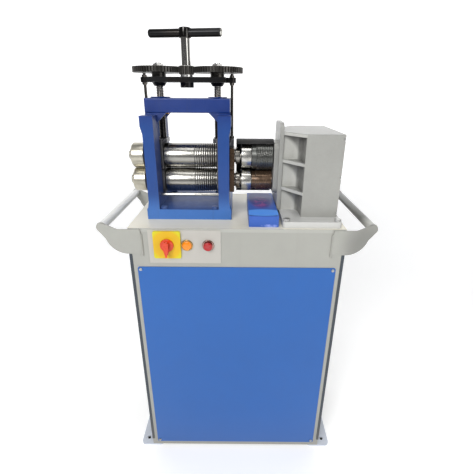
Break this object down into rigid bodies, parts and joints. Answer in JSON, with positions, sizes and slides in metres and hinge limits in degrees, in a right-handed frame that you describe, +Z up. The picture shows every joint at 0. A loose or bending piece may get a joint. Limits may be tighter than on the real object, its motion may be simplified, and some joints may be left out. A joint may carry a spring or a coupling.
{
  "type": "jewellers rolling mill",
  "caption": "Powered jewellers rolling mill: a roll stand with grooved rolls, geared screw-down and T handle, and a gearbox on a floor cabinet that holds the motor.",
  "frame": {"origin": "on the floor, in the middle of the four floor bolt holes of the cabinet", "axes": "+X to the operator's right towards the gearbox, +Y to the back, +Z up; the roll axes lie in the plane Y = 0"},
  "size_m": [0.756, 0.3844, 1.34],
  "materials": {
    "cabinet_grey": "semi-gloss paint on sheet steel",
    "deck_cream": "semi-gloss paint",
    "panel_blue": "satin powder coat",
    "trim_dark": "satin",
    "control_beige": "satin",
    "handle_grey": "semi-gloss paint",
    "sign_yellow": "gloss",
    "knob_red": "gloss",
    "lens_amber": "gloss, translucent look",
    "button_red": "gloss",
    "bezel_chrome": "polished",
    "switch_black": "matt",
    "mill_blue": "hammer paint on cast iron",
    "gearbox_grey": "hammer paint on cast iron",
    "box_blue": "semi-gloss paint",
    "roll_steel": "ground and polished",
    "side_roll_steel": "ground, bright",
    "bright_steel": "turned, bright",
    "dark_steel": "blackened and oiled",
    "gear_steel": "oiled, dark on the flanks",
    "chock_steel": "milled, oiled",
    "bronze": "machined bronze",
    "fastener_steel": "zinc plated",
    "sleeve_black": "ribbed, matt",
    "sleeve_brown": "greased, worn",
    "guard_black": "matt paint",
    "belt_rubber": "matt",
    "motor_grey": "painted"
  },
  "bodies": {
    "stand": {"cabinet_shell": "cabinet_grey", "deck_plate": "deck_cream", "front_panel": "panel_blue", "rear_panel": "cabinet_grey", "panel_screws": "fastener_steel", "edge_trims": "trim_dark", "foot_flanges": "cabinet_grey", "handle_brackets": "cabinet_grey", "handle_tubes": "handle_grey", "control_plate": "control_beige", "isolator_plate": "sign_yellow", "pilot_lamp": "lens_amber", "stop_bezel": "bezel_chrome", "switch_blocks": "switch_black", "mill_body": "mill_blue", "screw_nuts": "bronze", "feed_bar": "bright_steel", "lower_chocks": "chock_steel", "bronze_bushes": "bronze", "drive_belt": "belt_rubber", "coupling_guard": "guard_black", "drip_box": "box_blue", "gearbox_case": "gearbox_grey", "bearing_cap": "gearbox_grey", "gear_chamber_lid": "gearbox_grey", "gearbox_side_cover": "gearbox_grey", "cover_screws": "fastener_steel", "bed_bolts": "fastener_steel", "motor_shelf": "cabinet_grey", "motor_frame": "motor_grey", "motor_gearhead": "motor_grey"},
    "bridge": {"bridge_plate": "dark_steel", "pull_rods": "bright_steel", "upper_chocks": "chock_steel", "upper_bushes": "bronze", "spindle_bush": "bright_steel"},
    "spindle": {"adjusting_spindle": "bright_steel", "adjusting_pinion": "gear_steel", "t_bar": "dark_steel"},
    "left_screw": {"left_pressure_screw": "bright_steel", "left_screw_gear": "gear_steel"},
    "right_screw": {"right_pressure_screw": "bright_steel", "right_screw_gear": "gear_steel"},
    "lower_line": {"lower_roll": "roll_steel", "lower_side_roll": "side_roll_steel", "lower_coupling_ring": "bright_steel", "lower_coupling_sleeve": "sleeve_brown", "lower_pinion_shaft": "bright_steel", "bull_gear": "gear_steel"},
    "upper_line": {"upper_roll": "roll_steel", "upper_side_roll": "side_roll_steel", "upper_coupling_ring": "bright_steel"},
    "upper_output": {"upper_coupling_sleeve": "sleeve_black", "upper_pinion_shaft": "bright_steel"},
    "belt_input": {"input_pinion_shaft": "bright_steel", "input_pulley": "dark_steel"},
    "motor_output": {"motor_pulley": "dark_steel", "motor_shaft": "bright_steel"},
    "isolator": {"isolator_knob": "knob_red"},
    "stop": {"stop_button": "button_red"}
  },
  "joints": [
    {"name": "spindle_turn", "type": "hinge", "parent": "bridge", "child": "spindle", "pos_m": [-0.137, -0.02872, 1.26], "axis": [0, 0, 1], "range_deg": [-2520, 0]},
    {"name": "bridge_lift", "type": "slide", "parent": "stand", "child": "bridge", "axis": [0, 0, 1], "range_m": [0, 0.0073]},
    {"name": "left_screw_turn", "type": "hinge", "parent": "bridge", "child": "left_screw", "pos_m": [-0.217, 0, 1.2], "axis": [0, 0, 1], "range_deg": [0, 654]},
    {"name": "right_screw_turn", "type": "hinge", "parent": "bridge", "child": "right_screw", "pos_m": [-0.057, 0, 1.2], "axis": [0, 0, 1], "range_deg": [0, 654]},
    {"name": "lower_roll_spin", "type": "hinge", "parent": "stand", "child": "lower_line", "pos_m": [-0.137, 0, 0.944], "axis": [1, 0, 0], "continuous": true},
    {"name": "upper_roll_spin", "type": "hinge", "parent": "bridge", "child": "upper_line", "pos_m": [-0.137, 0, 1.016], "axis": [1, 0, 0], "continuous": true},
    {"name": "upper_output_spin", "type": "hinge", "parent": "stand", "child": "upper_output", "pos_m": [0.15, 0, 1.016], "axis": [1, 0, 0], "continuous": true},
    {"name": "belt_input_spin", "type": "hinge", "parent": "stand", "child": "belt_input", "pos_m": [0.22, 0.06717, 1.01117], "axis": [1, 0, 0], "continuous": true},
    {"name": "motor_spin", "type": "hinge", "parent": "stand", "child": "motor_output", "pos_m": [0.22, 0.06717, 0.57], "axis": [1, 0, 0], "continuous": true},
    {"name": "isolator_turn", "type": "hinge", "parent": "stand", "child": "isolator", "pos_m": [-0.191, -0.185, 0.804], "axis": [0, 1, 0], "range_deg": [0, 90]},
    {"name": "stop_press", "type": "slide", "parent": "stand", "child": "stop", "axis": [0, 1, 0], "range_m": [0, 0.004], "stiffness_N_per_m": 400}
  ],
  "couplings": [
    {"joint": "bridge_lift", "follows": "spindle_turn", "m_per_rad": -0.00016505},
    {"joint": "left_screw_turn", "follows": "spindle_turn", "ratio": -0.25926},
    {"joint": "right_screw_turn", "follows": "spindle_turn", "ratio": -0.25926},
    {"joint": "upper_roll_spin", "follows": "lower_roll_spin", "ratio": -1},
    {"joint": "upper_output_spin", "follows": "lower_roll_spin", "ratio": -1},
    {"joint": "belt_input_spin", "follows": "lower_roll_spin", "ratio": -3.75},
    {"joint": "motor_spin", "follows": "lower_roll_spin", "ratio": -7.5}
  ]
}
